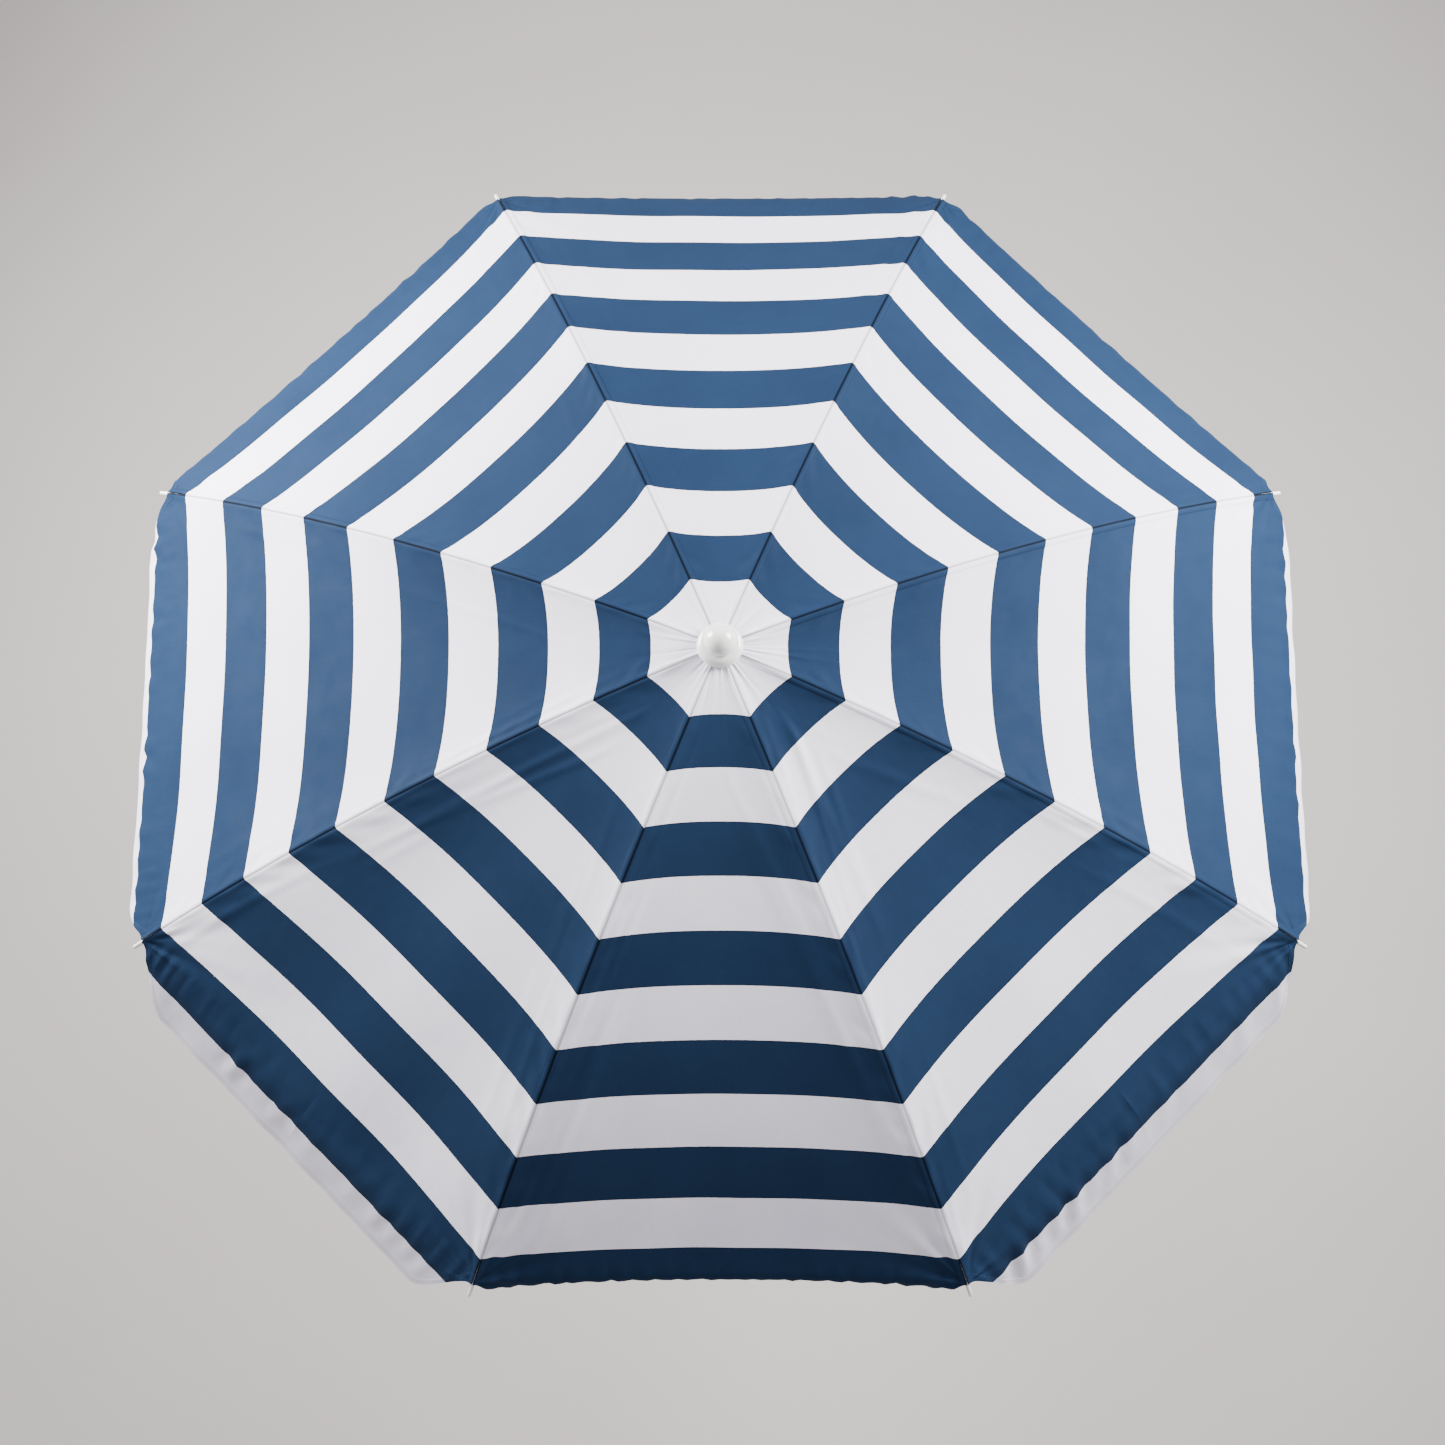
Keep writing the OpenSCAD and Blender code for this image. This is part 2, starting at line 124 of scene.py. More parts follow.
# ---------------------------------------------------------------- meshes

def add_mesh(name, points, faces, material, smooth=True):
    """A mesh object in the scene, in the shared frame, with one material."""
    mesh = bpy.data.meshes.new(name)
    mesh.from_pydata([tuple(p) for p in points], [], faces)
    mesh.validate()
    mesh.materials.append(material)
    if smooth:
        mesh.polygons.foreach_set("use_smooth", [True] * len(mesh.polygons))
    thing = bpy.data.objects.new(name, mesh)
    bpy.context.scene.collection.objects.link(thing)
    return thing


def grid_faces(rows, columns, flip=False):
    """Quads of a grid of points, rows by columns."""
    faces = []
    for i in range(rows - 1):
        for j in range(columns - 1):
            a = i * columns + j
            quad = (a, a + 1, a + columns + 1, a + columns)
            faces.append(quad[::-1] if flip else quad)
    return faces


def lathe(name, profile, material, turns=96, start=(0, 0, 0), axis=(0, 0, 1)):
    """A surface of revolution. profile is (radius, height along the axis)."""
    axis = Vector(axis).normalized()
    turn = Vector((0, 0, 1)).rotation_difference(axis)
    points, faces = [], []
    for r, h in profile:
        for k in range(turns):
            a = 2 * math.pi * k / turns
            points.append(Vector(start) + turn @ Vector((r * math.cos(a), r * math.sin(a), h)))
    for i in range(len(profile) - 1):
        for k in range(turns):
            n = (k + 1) % turns
            faces.append((i * turns + k, i * turns + n, (i + 1) * turns + n, (i + 1) * turns + k))
    faces.append(tuple(range(turns))[::-1])
    faces.append(tuple((len(profile) - 1) * turns + k for k in range(turns)))
    return add_mesh(name, points, faces, material)


def sheet_mesh(name, p, n, material, flip):
    """A closed thin mesh from a grid of points and its normals: two skins and a flat rim."""
    rows, columns = p.shape[:2]
    count = rows * columns
    skin = grid_faces(rows, columns, flip)
    back = [tuple(k + count for k in face[::-1]) for face in skin]
    ring = [j for j in range(columns)] + [i * columns + columns - 1 for i in range(1, rows)]
    ring += [(rows - 1) * columns + j for j in range(columns - 2, -1, -1)]
    ring += [i * columns for i in range(rows - 2, 0, -1)]
    rim = [(a, b, b + count, a + count) for a, b in zip(ring, ring[1:] + ring[:1])]
    rim = [face if flip else face[::-1] for face in rim]
    both = np.concatenate([(p + n * CLOTH).reshape(-1, 3), p.reshape(-1, 3)])
    thing = add_mesh(name, both, rim + skin + back, material)
    thing.data.polygons.foreach_set("use_smooth", [False] * len(rim) + [True] * (2 * len(skin)))
    border = set(ring) | {k + count for k in ring}
    for edge in thing.data.edges:
        edge.use_edge_sharp = edge.vertices[0] in border and edge.vertices[1] in border
    return thing


def set_attribute(thing, name, values):
    """One number per point of a sheet's grid, the same on both skins."""
    attribute = thing.data.attributes.new(name, "FLOAT", "POINT")
    attribute.data.foreach_set("value", np.tile(np.asarray(values, np.float32).ravel(), 2))


def set_uv(thing, uv):
    """One UV per point of a sheet's grid, in metres of flat cloth, the same on both skins."""
    layer = thing.data.uv_layers.new(name="cloth")
    loops = np.zeros(len(thing.data.loops), np.int32)
    thing.data.loops.foreach_get("vertex_index", loops)
    layer.data.foreach_set("uv", np.tile(np.asarray(uv, np.float32), (2, 1))[loops].ravel())


# ---------------------------------------------------------------- shape of the cloth

def share(s):
    """How far along the rib line s is, from 0 at the apex to 1 at the rib's end."""
    return s / EDGE_S


def bow(w):
    """How much of a gore's sag is reached at w, from 0 at the rib to 1 at the middle."""
    return 1 - (1 - w) ** 2.4


def direction(azimuth):
    """The level unit vector at an azimuth in radians."""
    return np.array([math.cos(azimuth), math.sin(azimuth)])


def smooth_step(x):
    """From 0 to 1 as x goes from 0 to 1, level at both ends."""
    x = np.clip(x, 0, 1)
    return x * x * (3 - 2 * x)


def cloth_point(s, w, middle, side, sag=1.0):
    """Points of the plain cloth: s along the rib, w of the way from the rib to the gore's middle."""
    t = CROWN_SLOPE + s / BEND_R
    r = ARC_X + BEND_R * np.sin(t)
    rib_dir = direction(middle + side * HALF)
    mid_dir = direction(middle)
    drawn = sag * SAG_IN * np.sin(math.pi / 2 * np.minimum(1, share(s) / 0.6))
    hung = sag * SAG_DOWN * np.sin(math.pi * share(s))
    along_rib = r * (1 - w)
    along_mid = r * math.cos(HALF) * w - drawn * bow(w)
    xy = along_rib[..., None] * rib_dir + along_mid[..., None] * mid_dir
    z = ARC_Z + BEND_R * np.cos(t) - hung * bow(w)
    return np.concatenate([xy, z[..., None]], axis=-1)


def flap_length(w, gore):
    """Depth of the flap: it grows from the rib's end in a rounded corner, up to the middle."""
    y = CORNER_R * math.sin(HALF) * w
    return FLAP_CORNER + (FLAP_DEPTH - FLAP_CORNER) * smooth_step(y / CORNER_ROUND) \
        + RUN_ON[gore - 1] * MM * bow(w)


def flap_offset(d, w, gore):
    """Way from the edge row to a depth d of the flap, which turns from the rib's slope to its own."""
    slope = math.radians(FLAP_SLOPES[gore - 1])
    pieces = 32
    total = np.zeros(d.shape + (3,))
    mid_dir = direction((gore - 1) * STEP)
    for k in range(pieces):
        part = (k + 0.5) / pieces * d - RUN_ON[gore - 1] * MM * bow(w)
        a = CORNER_T + (slope - CORNER_T) * smooth_step(part / (TURN_OVER[gore - 1] * MM))
        leg = d / pieces
        total[..., 0] += leg * np.cos(a) * mid_dir[0]
        total[..., 1] += leg * np.cos(a) * mid_dir[1]
        total[..., 2] -= leg * np.sin(a)
    return total


def row_normals(p):
    """Unit normals of a grid of points, pointing up on the whole."""
    du = np.gradient(p, axis=0)
    dv = np.gradient(p, axis=1)
    n = np.cross(du, dv)
    n /= np.maximum(np.linalg.norm(n, axis=-1, keepdims=True), 1e-12)
    flip = np.sign(n[..., 2].sum()) or 1.0
    return n * flip


def waves(rng, x, lengths, count):
    """A sum of sine waves of random phase, about one high."""
    total = np.zeros_like(x)
    for _ in range(count):
        length = rng.uniform(*lengths)
        total += np.sin(2 * math.pi * x / length + rng.uniform(0, 2 * math.pi))
    return total / math.sqrt(count)


def ridge(x, width):
    """A rounded ridge, one high, along x = 0."""
    return np.exp(-(x / width) ** 2)


def corner_pulls(rng, s, y, d, crease):
    """Folds that fan out over the cloth from the end of a rib, and one deeper tuck."""
    ahead = EDGE_S - s - d
    away = np.hypot(ahead, y)
    angle = np.arctan2(y, ahead)
    fan_size, fan_reach = 0.065, 75 * MM
    tuck_size, tuck_width, tuck_reach = 0.30, 0.13, 28 * MM
    count = rng.uniform(7, 10)
    fan = np.sin(count * angle + rng.uniform(0, 6))
    fan = fan + 0.6 * np.sin(1.7 * count * angle + rng.uniform(0, 6))
    inside = smooth_step(angle / 0.3) * smooth_step((2.2 - angle) / 0.5)
    inside = inside * smooth_step((y - 4 * MM) / (8 * MM))
    height = fan_size * np.minimum(away, 22 * MM) * fan * inside * np.exp(-away / fan_reach)
    tuck = ridge(angle - rng.uniform(0.85, 1.1), tuck_width) * np.exp(-away / tuck_reach)
    height -= tuck_size * np.minimum(away, 14 * MM) * tuck
    return height * crease


def wrinkles(gore, side, s, x, y, d):
    """Height of the small folds: x across the gore, y from the nearest seam, d down the flap."""
    rng = np.random.default_rng(WRINKLE_SEED + gore)
    crease = CREASING[gore - 1]
    main = smooth_step(1 - d / (20 * MM)) * smooth_step((s - FIRST_S) / (30 * MM))
    height = np.zeros_like(s)
    # the seam: pinched at the stitches, with its doubled cloth sewn down on one side
    roll = smooth_step((s - FINIAL_R) / (60 * MM)) * smooth_step((EDGE_S - s - d) / (45 * MM))
    height -= roll * 0.8 * MM * ridge(y, 1.8 * MM)
    if side > 0:
        height += roll * 0.4 * MM * smooth_step((FELL - y) / (2.5 * MM))
    uneven = 1 + 0.6 * waves(rng, s, (0.03, 0.08), 4)
    height += roll * 0.3 * MM * ridge(y - 5 * MM, 3.5 * MM) * uneven
    # cloth gathered a little by the stitching
    gathered = roll * ridge(y - 15 * MM, 11 * MM) * smooth_step(y / (6 * MM))
    height += gathered * 0.45 * MM * waves(rng, s + 0.6 * y, (0.024, 0.07), 4)
    # drawn tight over the stick on the rib's end
    stick = smooth_step((s + d - EDGE_S + 45 * MM) / (25 * MM))
    height += 1.3 * MM * ridge(y, 6 * MM) * stick
    height += corner_pulls(rng, s, y, d, crease)
    # pull lines beside the seams
    for _ in range(int(16 * crease)):
        hand = rng.choice([-1, 1])
        off = rng.uniform(9, 70) * MM
        middle = rng.uniform(0.15, 0.95) * EDGE_S
        length = rng.uniform(50, 150) * MM
        slant = rng.uniform(-0.12, 0.03)
        line = y - off - slant * (s - middle)
        size = rng.uniform(0.3, 0.9) * MM * crease
        height += main * size * ridge(line, rng.uniform(4, 8) * MM) \
            * ridge(s - middle, length) * (side == hand) * smooth_step(np.abs(x) / (14 * MM))
    # slack across the gore, strongest towards the edge
    slack = smooth_step(share(s)) * smooth_step(y / (60 * MM))
    height += slack * main * crease * 0.8 * MM * waves(rng, s + 0.3 * x, (0.16, 0.34), 4)
    height += slack * main * crease * 0.7 * MM * waves(rng, x + 0.1 * s, (0.10, 0.24), 4)
    # puckers where the flap folds over, and the flap's own waves
    fold = ridge(d - 10 * MM, 22 * MM) * (d > 0) + ridge(EDGE_S - s, 14 * MM) * (d <= 0)
    free = smooth_step(y / (25 * MM))
    height += fold * free * 0.75 * MM * crease * waves(rng, x, (0.014, 0.034), 5)
    height += free * smooth_step(d / FLAP_DEPTH) * 0.6 * MM * waves(rng, x, (0.06, 0.13), 3)
    pucker = waves(rng, x + 0.2 * d, (0.026, 0.052), 4)
    above_hem = smooth_step((FLAP_DEPTH + 8 * MM - d) / (45 * MM))
    height += free * smooth_step(d / (40 * MM)) * above_hem * 0.8 * MM * pucker * np.abs(pucker)
    return height


def crown_gathers(s, azimuth):
    """Gathers that run out from under the finial, the same on every piece that meets there."""
    rng = np.random.default_rng(GATHER_SEED)
    total = np.zeros_like(s)
    for _ in range(44):
        at = rng.uniform(0, 2 * math.pi)
        width = rng.uniform(0.025, 0.06)
        reach = rng.uniform(18, 62) * MM
        size = rng.uniform(-1.3, 1.7) * MM
        away = np.angle(np.exp(1j * (azimuth - at)))
        total += size * ridge(away, width) * np.exp(-np.maximum(s - FINIAL_R, 0) / reach)
    total *= smooth_step((s - 17 * MM) / (12 * MM))
    # pressed flat where the finial sits on it
    return np.minimum(total, 0.5 * MM + 0.8 * np.maximum(0, s - FINIAL_R - 1 * MM))


def column_places(count, power):
    """Places from 0 to 1, closer together towards 0."""
    return (np.arange(count + 1) / count) ** power


def half_gore(gore, side, material):
    """One half of a gore, from its rib to the middle, with its half of the flap."""
    middle = (gore - 1) * STEP
    hand = "right" if side > 0 else "left"
    # columns lie closer together towards the rib, and rows towards the edge
    main_rows, flap_rows, columns = 134, 24, 46
    w_line = column_places(columns, 1.6)
    s_line = EDGE_S - (EDGE_S - FIRST_S) * np.linspace(1, 0, main_rows) ** 1.3
    f_line = np.linspace(0, 1, flap_rows + 1)[1:]
    s, w = np.meshgrid(np.concatenate([s_line, np.full(flap_rows, EDGE_S)]), w_line, indexing="ij")
    length = flap_length(w, gore)
    depth = np.concatenate([np.zeros(main_rows), f_line])[:, None] * length
    p = cloth_point(s, w, middle, side, SAG_SHARES[gore - 1])
    p += flap_offset(depth, w, gore)
    r = ARC_X + BEND_R * np.sin(CROWN_SLOPE + s / BEND_R)
    x = side * r * math.sin(HALF) * (1 - w)
    y = r * math.sin(HALF) * w
    azimuth = np.arctan2(p[..., 1], p[..., 0])
    n = row_normals(p)
    folds = wrinkles(gore, side, s, x, y, depth) + crown_gathers(s, azimuth)
    p = p + n * folds[..., None]
    piece = sheet_mesh(f"fabric_{gore}_{hand}", p, n, material, flip=side < 0)
    to_white = (LAST_BAND - EDGE_S) * MIDDLE_SHARE + RUN_ON[gore - 1] * MM * bow(w)
    v = s + np.minimum(depth, to_white) * (LAST_BAND - EDGE_S) / to_white \
        + np.maximum(depth - to_white, 0) / MIDDLE_SHARE + BAND_SHIFTS[gore - 1] * MM
    set_uv(piece, np.stack([x.ravel() + MIDDLE_U, v.ravel()], axis=1))
    set_attribute(piece, "seam", y)
    set_attribute(piece, "fell", y if side > 0 else np.full(y.size, FAR))
    set_attribute(piece, "hem", length - depth + (EDGE_S - s))
    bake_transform(piece)
    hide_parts(f"gore_{gore}_{hand}")
    length = EDGE_S * MIDDLE_SHARE + FLAP_DEPTH
    return piece


def crown_piece(rib, material):
    """The cloth under the finial, from one gore's middle over a rib to the next gore's middle."""
    rings, half_count = 8, 8
    s_line = FIRST_S * np.linspace(0.15, 1, rings + 1)
    w_line = np.linspace(1, 0, half_count + 1)
    s, w = np.meshgrid(s_line, w_line, indexing="ij")
    before = cloth_point(s, w, (rib - 1) * STEP, 1)
    after = cloth_point(s, w, rib * STEP, -1)[:, ::-1][:, 1:]
    p = np.concatenate([before, after], axis=1)
    s = np.concatenate([s, s[:, 1:]], axis=1)
    azimuth = np.arctan2(p[..., 1], p[..., 0])
    p[..., 2] += crown_gathers(s, azimuth)
    piece = sheet_mesh(f"fabric_crown_{rib}", p, row_normals(p), material, flip=True)
    angle = azimuth - (rib - 0.5) * STEP
    set_uv(piece, np.stack([MIDDLE_U + (s * np.sin(angle)).ravel(), s.ravel()], axis=1))
    for name in ("seam", "fell", "hem"):
        set_attribute(piece, name, np.full(s.size, FAR))
    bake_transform(piece)
    return piece


# ---------------------------------------------------------------- materials

class Nodes:
    """Short names for a material's node tree."""

    def __init__(self, name, **constants):
        self.material = bpy.data.materials.new(name)
        self.material.use_nodes = True
        self.tree = self.material.node_tree
        self.shader = self.tree.nodes["Principled BSDF"]
        for key, value in constants.items():
            self.shader.inputs[key.replace("_", " ")].default_value = value

    def add(self, kind, **settings):
        node = self.tree.nodes.new(kind)
        for key, value in settings.items():
            setattr(node, key, value)
        return node

    def join(self, a, b):
        """Links the output a, or writes the value a, into the input b."""
        if isinstance(a, bpy.types.NodeSocket):
            self.tree.links.new(a, b)
        else:
            b.default_value = a

    def math(self, operation, *values):
        node = self.add("ShaderNodeMath", operation=operation)
        for k, value in enumerate(values):
            self.join(value, node.inputs[k])
        return node.outputs[0]

    def attribute(self, name):
        return self.add("ShaderNodeAttribute", attribute_name=name).outputs["Fac"]

    def uv(self):
        return self.add("ShaderNodeUVMap", uv_map="cloth").outputs[0]

    def place(self):
        return self.add("ShaderNodeTexCoord").outputs["Object"]

    def split(self, vector):
        node = self.add("ShaderNodeSeparateXYZ")
        self.join(vector, node.inputs[0])
        return node.outputs

    def stretched(self, vector, scale):
        node = self.add("ShaderNodeMapping")
        self.join(vector, node.inputs["Vector"])
        node.inputs["Scale"].default_value = scale
        return node.outputs[0]

    def noise(self, vector, scale, detail=3.0, roughness=0.55):
        node = self.add("ShaderNodeTexNoise")
        self.join(vector, node.inputs["Vector"])
        node.inputs["Scale"].default_value = scale
        node.inputs["Detail"].default_value = detail
        node.inputs["Roughness"].default_value = roughness
        return node.outputs["Fac"]

    def remap(self, value, a, b, low, high):
        node = self.add("ShaderNodeMapRange")
        for socket, v in zip(node.inputs, (value, a, b, low, high)):
            self.join(v, socket)
        return node.outputs[0]

    def mix(self, factor, a, b):
        node = self.add("ShaderNodeMix", data_type="RGBA")
        self.join(factor, node.inputs[0])
        self.join(a, node.inputs[6])
        self.join(b, node.inputs[7])
        return node.outputs[2]

    def bump(self, height, distance, strength=1.0, normal=None):
        node = self.add("ShaderNodeBump")
        self.join(height, node.inputs["Height"])
        node.inputs["Distance"].default_value = distance
        node.inputs["Strength"].default_value = strength
        if normal is not None:
            self.join(normal, node.inputs["Normal"])
        return node.outputs[0]

    def end(self, color=None, roughness=None, normal=None):
        if color is not None:
            self.join(color, self.shader.inputs["Base Color"])
        if roughness is not None:
            self.join(roughness, self.shader.inputs["Roughness"])
        if normal is not None:
            self.join(normal, self.shader.inputs["Normal"])
        return self.material


def fabric_material(name):
    """Satin-woven polyester with blue and white bands, sewn seams and a stitched hem."""
    n = Nodes(name, Sheen_Weight=0.01, Sheen_Roughness=0.5, Specular_IOR_Level=0.035)
    blue, deep_blue = (0.0122, 0.0285, 0.0660, 1), (0.0088, 0.0205, 0.0490, 1)
    white, grey_white = (0.88, 0.845, 0.94, 1), (0.80, 0.76, 0.86, 1)
    border_blue = (0.0030, 0.0070, 0.0190, 1)
    uv = n.uv()
    u, v, _ = n.split(uv)
    # the bands, with edges a little uneven as the yarns are
    uneven = n.noise(n.stretched(uv, (1, 0.1, 1)), 900, 1)
    fray = n.math("MULTIPLY", n.math("SUBTRACT", uneven, 0.5), 1.2 * MM)
    where = n.math("DIVIDE", n.math("SUBTRACT", n.math("ADD", v, fray), FIRST_BAND), BAND)
    odd = n.math("LESS_THAN", n.math("FLOORED_MODULO", where, 2.0), 1.0)
    inside = n.math("MULTIPLY", n.math("GREATER_THAN", where, 0.0), n.math("LESS_THAN", where, BANDS))
    is_blue = n.math("MULTIPLY", odd, inside)
    to_edge = n.math("ABSOLUTE", n.math("SUBTRACT", where, n.math("ROUND", where)))
    near = n.math("MULTIPLY", n.remap(to_edge, 0.0, 1.6 * MM / BAND, 1.0, 0.0), is_blue)
    # colour: slubs along both yarns, and broad fading
    warp = n.noise(n.stretched(uv, (1.0, 0.02, 1)), 2200, 1)
    weft = n.noise(n.stretched(uv, (0.02, 1.0, 1)), 2200, 1)
    broad = n.noise(uv, 9, 3)
    yarn = n.math("ADD", n.math("MULTIPLY", warp, 0.5), n.math("MULTIPLY", weft, 0.5))
    tone = n.remap(n.math("ADD", yarn, n.math("MULTIPLY", broad, 0.8)), 0.55, 1.2, 0.0, 1.0)
    blue_now = n.mix(tone, deep_blue, blue)
    blue_now = n.mix(near, blue_now, border_blue)
    white_now = n.mix(tone, grey_white, white)
    color = n.mix(is_blue, white_now, blue_now)
    # stitches: two rows along the hem, darkened with painted shade in their grooves and dashed with thread on top,
    # and one beside each seam
    seam, hem = n.attribute("seam"), n.attribute("hem")
    along = n.math("FRACT", n.math("MULTIPLY", u, 1 / STITCH))
    dash = n.math("LESS_THAN", along, STITCH_SHARE)
    rows = None
    for at in HEM_ROWS:
        off = n.math("ABSOLUTE", n.math("SUBTRACT", hem, at))
        row = n.remap(off, 0.8 * MM, 1.8 * MM, 1.0, 0.0)
        rows = row if rows is None else n.math("MAXIMUM", rows, row)
    rows = n.math("MULTIPLY", rows, n.remap(seam, 12 * MM, 24 * MM, 0.0, 1.0))
    stitch = n.math("MULTIPLY", rows, dash)
    # painted shade: the hem's stitch rows are darkened in the colour where their grooves would fall in shadow
    painted_groove_shade = n.mix(is_blue, (0.50, 0.48, 0.54, 1), (0.0040, 0.0110, 0.0280, 1))
    thread = n.mix(is_blue, (0.86, 0.85, 0.88, 1), (0.030, 0.070, 0.150, 1))
    color = n.mix(n.math("MULTIPLY", rows, 0.75), color, painted_groove_shade)
    color = n.mix(n.math("MULTIPLY", stitch, 0.6), color, thread)
    # painted shade: the crease along each seam and the step of the felled seam beside it are darkened in the
    # colour
    shade = n.mix(is_blue, (0.40, 0.38, 0.42, 1), (0.0012, 0.0025, 0.0060, 1))
    crease = n.remap(seam, 0.6 * MM, 2.3 * MM, 0.9, 0.0)
    off = n.math("ABSOLUTE", n.math("SUBTRACT", n.attribute("fell"), FELL_ROW))
    fell = n.remap(off, 0.3 * MM, 0.9 * MM, 0.35, 0.0)
    color = n.mix(n.math("MAXIMUM", crease, fell), color, shade)
    # weave and cloth: fine threads, then a soft unevenness
    across = n.math("SINE", n.math("MULTIPLY", u, 2 * math.pi / WEAVE_PITCH))
    down = n.math("SINE", n.math("MULTIPLY", v, 2 * math.pi / WEAVE_PITCH))
    weave = n.math("MULTIPLY", across, down)
    normal = n.bump(weave, 0.03 * MM, 0.5)
    normal = n.bump(n.noise(n.stretched(uv, (1, 0.4, 1)), 45, 4), 0.9 * MM, 0.55, normal)
    hem_fold = n.remap(hem, HEM_FOLD, HEM_FOLD + 1.5 * MM, 1.0, 0.0)
    normal = n.bump(hem_fold, 0.5 * MM, 0.8, normal)
    # the faint fold left by packing, down the middle of the gore
    off = n.math("ABSOLUTE", n.math("SUBTRACT", u, MIDDLE_U))
    middle = n.remap(off, 0.0, 1.6 * MM, 1.0, 0.0)
    patchy = n.remap(n.noise(n.stretched(uv, (0.01, 1, 1)), 14, 2), 0.40, 0.70, 0.1, 1.0)
    normal = n.bump(n.math("MULTIPLY", middle, patchy), 0.07 * MM, 0.4, normal)
    normal = n.bump(n.math("SUBTRACT", stitch, rows), 0.25 * MM, 0.8, normal)
    roughness = n.remap(n.noise(uv, 30, 3), 0.3, 0.7, 0.58, 0.72)
    return n.end(color, roughness, normal)


def plastic_material(name, color, darker, rough, grain, coat=0.0):
    """Moulded plastic: a light grain, faint flow marks, scuffs that dull it."""
    n = Nodes(name, Coat_Weight=coat, Coat_Roughness=0.06, Subsurface_Weight=0.06)
    n.shader.inputs["Subsurface Radius"].default_value = (0.004, 0.003, 0.002)
    at = n.place()
    flow = n.noise(n.stretched(at, (1, 1, 0.35)), 55, 4)
    scuff = n.remap(n.noise(at, 210, 6, 0.7), 0.56, 0.72, 0.0, 1.0)
    tone = n.remap(flow, 0.3, 0.7, 0.0, 1.0)
    color = n.mix(tone, darker, color)
    color = n.mix(n.math("MULTIPLY", scuff, 0.18), color, (0.5, 0.48, 0.44, 1))
    roughness = n.math("ADD", n.remap(flow, 0.3, 0.7, rough * 0.8, rough * 1.2),
                       n.math("MULTIPLY", scuff, 0.14))
    normal = n.bump(n.noise(at, 2600, 2), grain, 0.5)
    normal = n.bump(flow, 0.12 * MM, 0.3, normal)
    return n.end(color, roughness, normal)


def paint_material(name, color, rough):
    """Powder coat on steel: orange peel, long scratches from sliding, a few chips."""
    n = Nodes(name, Metallic=0.0, Coat_Weight=0.25, Coat_Roughness=0.12)
    at = n.place()
    scratch = n.noise(n.stretched(at, (1, 1, 0.03)), 900, 3)
    line = n.remap(scratch, 0.64, 0.70, 0.0, 1.0)
    chip = n.remap(n.noise(at, 85, 6, 0.65), 0.70, 0.72, 0.0, 1.0)
    broad = n.noise(n.stretched(at, (1, 1, 0.2)), 20, 3)
    duller = tuple(c * 0.93 for c in color[:3]) + (1,)
    tint = n.mix(n.remap(broad, 0.3, 0.7, 0, 1), duller, color)
    tint = n.mix(n.math("MULTIPLY", line, 0.2), tint, (0.55, 0.55, 0.54, 1))
    tint = n.mix(n.math("MULTIPLY", chip, 0.75), tint, (0.32, 0.31, 0.30, 1))
    roughness = n.math("ADD", n.remap(broad, 0.3, 0.7, rough * 0.85, rough * 1.15),
                       n.math("MULTIPLY", line, 0.2))
    normal = n.bump(n.noise(at, 620, 2), 0.05 * MM, 0.5)
    normal = n.bump(n.math("SUBTRACT", 1.0, chip), 0.06 * MM, 0.6, normal)
    return n.end(tint, roughness, normal)


def steel_material(name):
    """Zinc-plated wire: drawn lines and a mottled plating."""
    n = Nodes(name, Metallic=1.0)
    at = n.place()
    drawn = n.noise(n.stretched(at, (0.15, 0.15, 1)), 2400, 2)
    mottle = n.noise(at, 160, 5, 0.7)
    color = n.mix(n.remap(mottle, 0.35, 0.65, 0, 1), (0.52, 0.52, 0.53, 1), (0.72, 0.72, 0.71, 1))
    roughness = n.remap(n.math("ADD", drawn, mottle), 0.7, 1.3, 0.24, 0.42)
    return n.end(color, roughness, n.bump(drawn, 0.03 * MM, 0.5))


def floor_material():
    """A pale plain floor, a little uneven in tone."""
    n = Nodes("pale_floor", Roughness=0.85)
    soft = n.noise(n.place(), 1.3, 4)
    color = n.mix(n.remap(soft, 0.3, 0.7, 0, 1), (0.49, 0.46, 0.43, 1), (0.52, 0.49, 0.46, 1))
    return n.end(color)


# ---------------------------------------------------------------- rigid pieces

def arc(cx, cy, r, a0, a1, count):
    """Points of an arc in the half plane of a profile, angles in degrees from the radius axis."""
    spread = [math.radians(a0 + (a1 - a0) * k / count) for k in range(count + 1)]
    return [(cx + r * math.cos(a), cy + r * math.sin(a)) for a in spread]


def finial(material):
    """The cap: a lip on the cloth, a rolled foot, and a ball on a short neck."""
    low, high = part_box("finial_cap")
    foot_r = (high.x - low.x) / 2
    ball_r = 19.3 * MM
    ball_h = high.z - low.z - ball_r
    lip_r, roll_r, roll_h = 1.2 * MM, 8.6 * MM, 2.0 * MM
    profile = [(0.5 * MM, 0.0)]
    profile += arc(foot_r - lip_r, lip_r, lip_r, -90, 60, 8)
    profile += arc(foot_r - 0.5 * MM - roll_r, roll_h, roll_r, 12, 86, 18)
    neck = arc(0, ball_h, ball_r, -42, 89, 40)
    last = profile[-1]
    profile += [((last[0] + neck[0][0]) / 2, last[1] - 0.5 * MM)]
    profile += neck
    piece = lathe("finial", profile, material, start=(0, 0, low.z))
    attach(piece, "canopy_pole")
    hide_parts("finial_cap")
    return piece


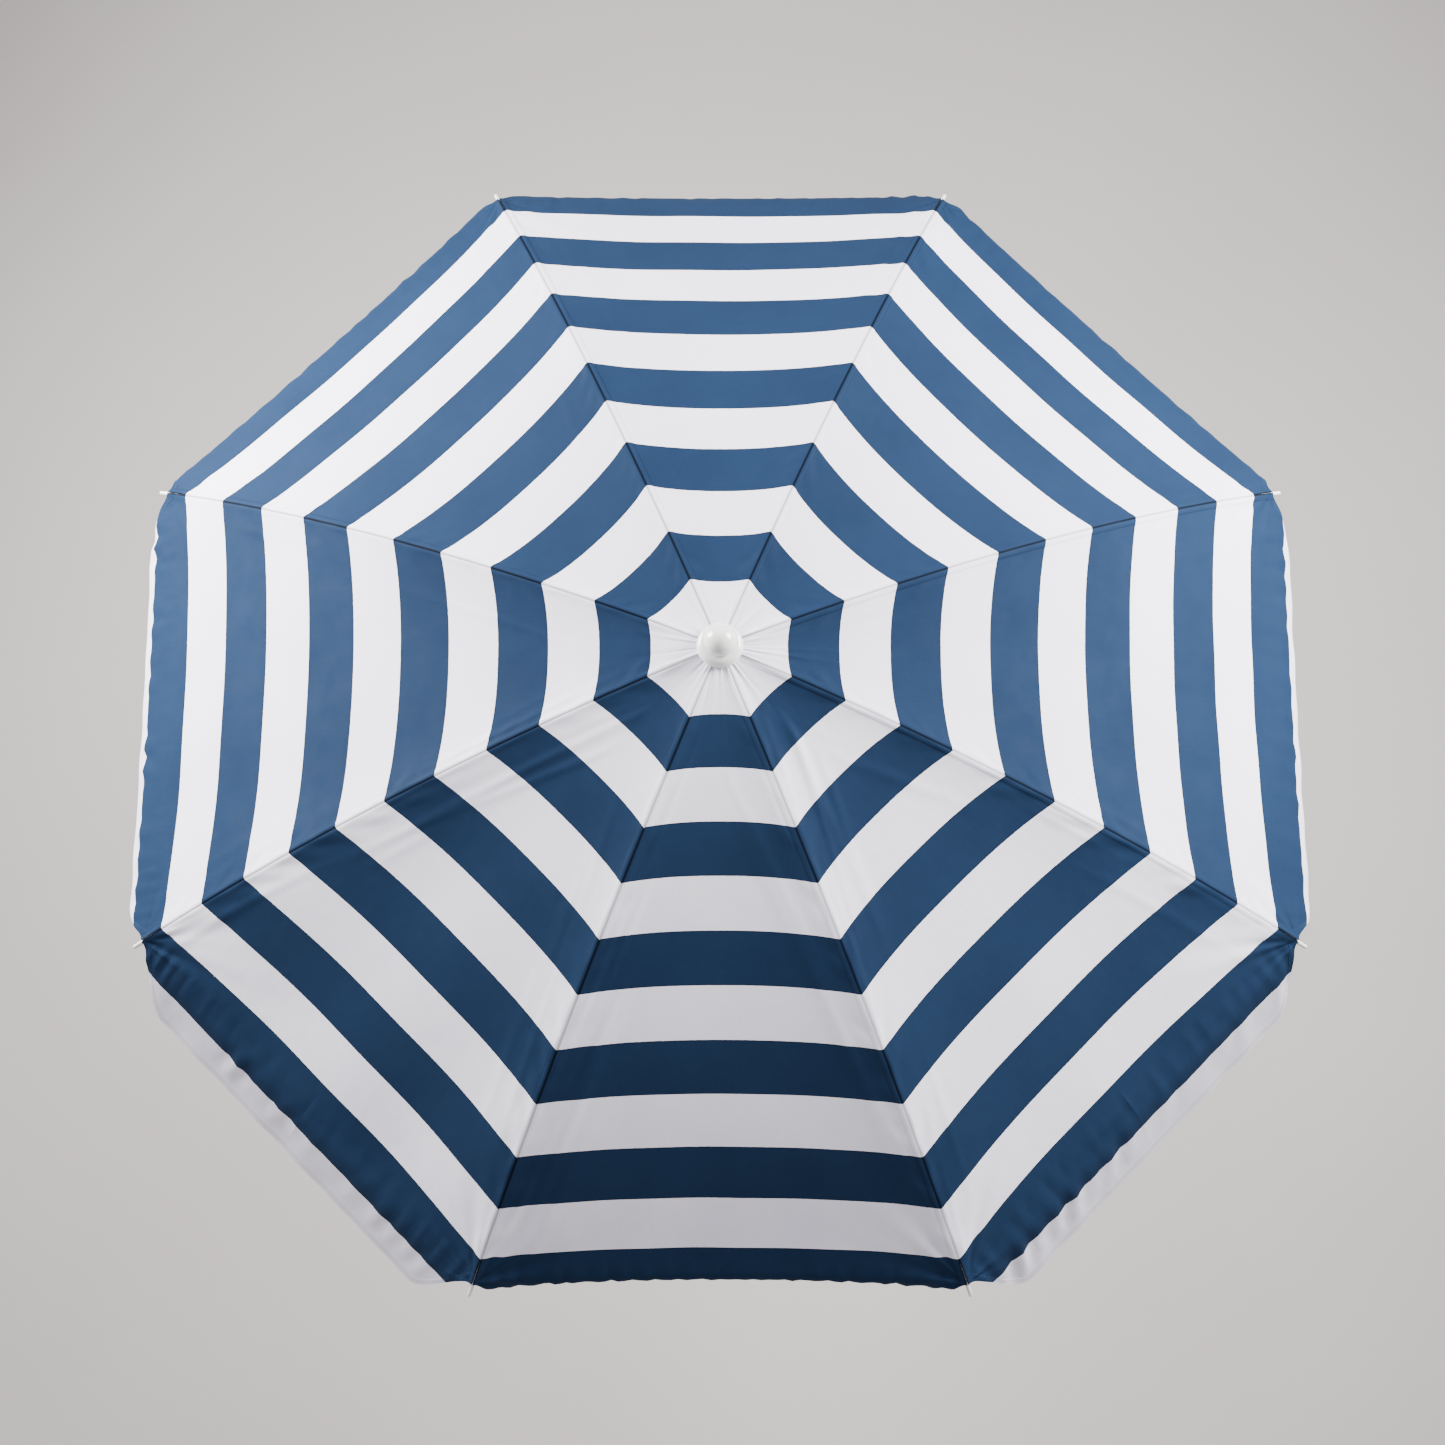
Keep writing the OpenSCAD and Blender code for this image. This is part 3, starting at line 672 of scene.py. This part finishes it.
def rib_tip(rib, material):
    """The stick on a rib's end: a sleeve in the cloth's corner, a step, and a rounded end."""
    outward = direction((rib - 0.5) * STEP)
    reach = ARC_X + RIB_BEND * math.sin(CORNER_T)
    at = Vector((outward[0] * reach, outward[1] * reach, ARC_Z + RIB_BEND * math.cos(CORNER_T)))
    level = math.cos(CORNER_T)
    axis = Vector((outward[0] * level, outward[1] * level, -math.sin(CORNER_T)))
    sleeve_r, sleeve_l, mouth_r = 2.3 * MM, 22 * MM, 1.75 * MM
    end_r, tip_l, edge_r = 2.7 * MM, 18.5 * MM, 0.5 * MM
    profile = [(mouth_r, -sleeve_l), (sleeve_r - 0.1 * MM, -sleeve_l)]
    profile += [(sleeve_r, -sleeve_l + 0.6 * MM), (sleeve_r, 2 * MM)]
    profile += arc(end_r - edge_r, 3 * MM, edge_r, -90, 0, 4)
    profile += [(end_r * 0.985, 9 * MM)]
    profile += arc(0.0, tip_l, end_r * 0.97, 0, 88, 12)
    piece = lathe(f"tip_{rib}", profile, material, turns=40, start=at, axis=axis)
    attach(piece, f"rib_{rib}")
    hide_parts(f"rib_tip_{rib}")
    return piece


def finish_node(node, material):
    """A carried-over CAD node with one of the procedural finishes."""
    thing = frame["nodes"][node]
    if not thing.material_slots:
        thing.data.materials.append(material)
    for place in thing.material_slots:
        place.material = material


# ---------------------------------------------------------------- stage

def make_floor():
    """A level floor that reaches well past the view."""
    half = 30.0
    corners = [(-half, -half, 0), (half, -half, 0), (half, half, 0), (-half, half, 0)]
    floor = add_mesh("floor", corners, [(0, 1, 2, 3)], floor_material(), smooth=False)


def area_light(name, at, look, size, power):
    """A round soft light that the camera doesn't see."""
    light = bpy.data.lights.new(name, "AREA")
    light.shape = "DISK"
    light.size = size
    light.energy = power
    thing = bpy.data.objects.new(name, light)
    thing.location = at
    thing.rotation_mode = "QUATERNION"
    thing.rotation_quaternion = (Vector(look) - Vector(at)).to_track_quat("-Z", "Y")
    thing.visible_camera = False
    bpy.context.scene.collection.objects.link(thing)


def make_lights():
    """Two soft boxes at the sides, a little behind the canopy, and an even pale surround."""
    canopy = Vector((0, 0, APEX_Z))
    distance, size = 1.8, 1.1
    # name, azimuth and elevation in degrees, power in watts
    boxes = [("soft_box_right", 24, 22, 140), ("soft_box_left", 151, 12, 155)]
    for name, azimuth, elevation, power in boxes:
        a, e = math.radians(azimuth), math.radians(elevation)
        away = Vector((math.cos(e) * math.cos(a), math.cos(e) * math.sin(a), math.sin(e)))
        area_light(name, canopy + distance * away, canopy, size, power)
    world = bpy.data.worlds.new("studio")
    bpy.context.scene.world = world
    world.use_nodes = True
    background = world.node_tree.nodes["Background"]
    background.inputs["Color"].default_value = (0.97, 0.96, 1.0, 1)
    background.inputs["Strength"].default_value = 0.70


def make_camera():
    """From above and in front, as the object is seen: most of the way to straight down."""
    camera = bpy.data.cameras.new("camera")
    camera.lens = 72
    camera.sensor_width = 36
    thing = bpy.data.objects.new("camera", camera)
    # its place from the canopy's apex, in units of the ribs' reach
    right, ahead, up = 0.004, -1.362, 4.188
    thing.location = (right * CORNER_R, ahead * CORNER_R, APEX_Z + up * CORNER_R)
    look = Vector((0, 0.284, -0.959))
    thing.rotation_mode = "QUATERNION"
    thing.rotation_quaternion = look.to_track_quat("-Z", "Y")
    bpy.context.scene.collection.objects.link(thing)
    bpy.context.scene.camera = thing


# ---------------------------------------------------------------- the whole

make_camera()
make_lights()
make_floor()

fabric = fabric_material("striped_fabric")
gloss = plastic_material("white_gloss", (0.86, 0.86, 0.83, 1), (0.82, 0.82, 0.785, 1),
                         rough=0.16, grain=0.004 * MM, coat=0.6)
matte = plastic_material("white_matte", (0.80, 0.80, 0.79, 1), (0.74, 0.74, 0.73, 1),
                         rough=0.46, grain=0.03 * MM)
paint = paint_material("white_paint", (0.80, 0.80, 0.80, 1), 0.34)
enamel = paint_material("rib_enamel", (0.74, 0.75, 0.76, 1), 0.42)
steel = steel_material("plated_steel")

FINISHES = {"white_plastic": gloss, "matte_white_plastic": matte, "white_paint": paint,
            "rib_steel": enamel, "plated_steel": steel, "fabric_white": fabric, "fabric_blue": fabric}
for part in frame["record"]["subparts"]:
    finish_node(part["node"], FINISHES[part["material_slot"]])

for gore in range(1, GORES + 1):
    for side in (-1, 1):
        half_gore(gore, side, fabric)
crown_pieces = [crown_piece(rib, fabric) for rib in range(1, GORES + 1)]
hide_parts("canopy_crown")
finial(gloss)
for rib in range(1, GORES + 1):
    rib_tip(rib, gloss)
